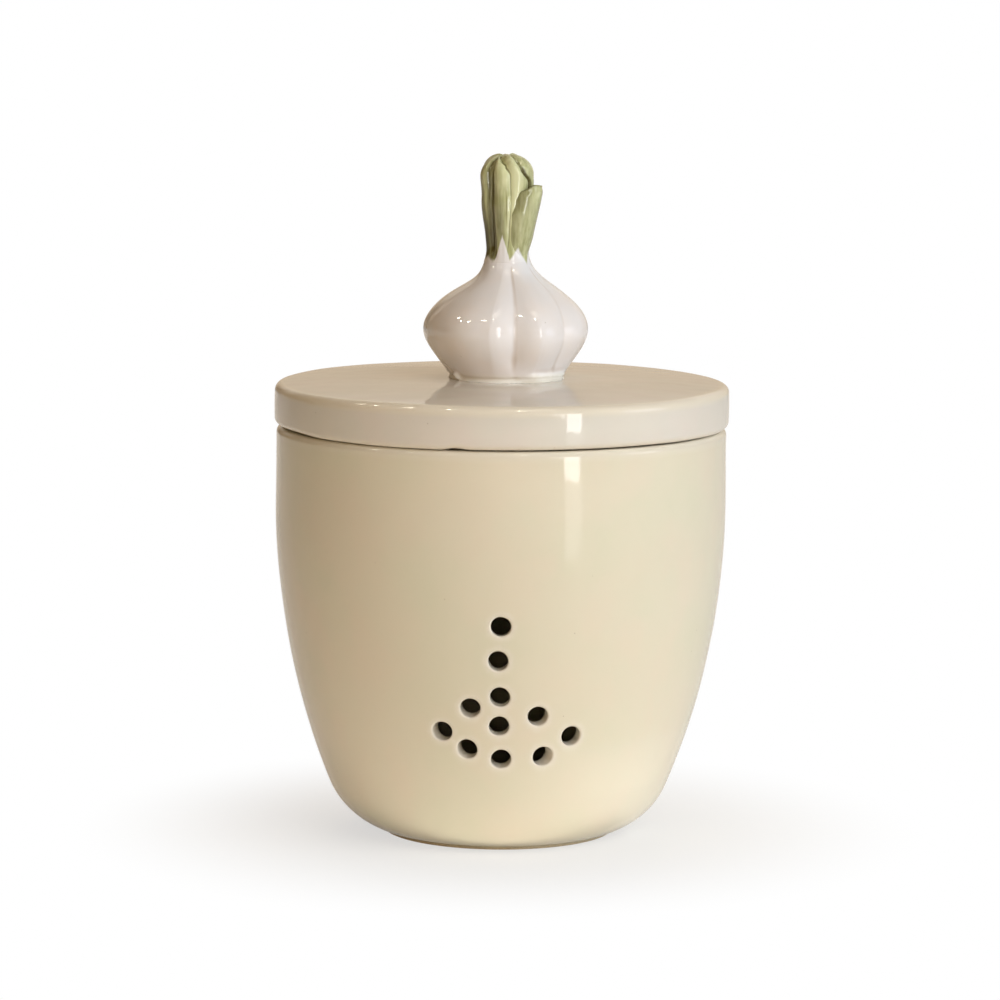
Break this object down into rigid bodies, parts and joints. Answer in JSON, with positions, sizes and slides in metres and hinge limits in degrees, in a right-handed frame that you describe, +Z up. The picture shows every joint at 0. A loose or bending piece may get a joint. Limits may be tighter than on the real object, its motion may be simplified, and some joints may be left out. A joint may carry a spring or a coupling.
{
  "type": "garlic keeper",
  "caption": "Round vented ceramic jar for keeping garlic, with a loose seated lid whose knob is shaped as a garlic bulb with cut green leaves.",
  "frame": {"origin": "centre of the foot ring's underside, on the surface the jar stands on", "axes": "+Z up along the jar's axis; -Y faces the front, where the vents are; +X to the right seen from the front"},
  "size_m": [0.129, 0.129, 0.1934],
  "materials": {
    "jar_glaze": "glossy ivory glaze",
    "lid_glaze": "glossy pale ivory glaze",
    "bulb_glaze": "glossy white glaze",
    "leaf_glaze": "glossy green glaze over white"
  },
  "bodies": {
    "jar": {"jar": "jar_glaze"},
    "lid": {"lid": "lid_glaze", "garlic_bulb": "bulb_glaze", "stalk": "leaf_glaze", "side_leaf": "leaf_glaze"}
  },
  "joints": [
    {"name": "lid_lift", "type": "slide", "parent": "jar", "child": "lid", "axis": [0, 0, 1], "range_m": [0, 0.12]}
  ]
}
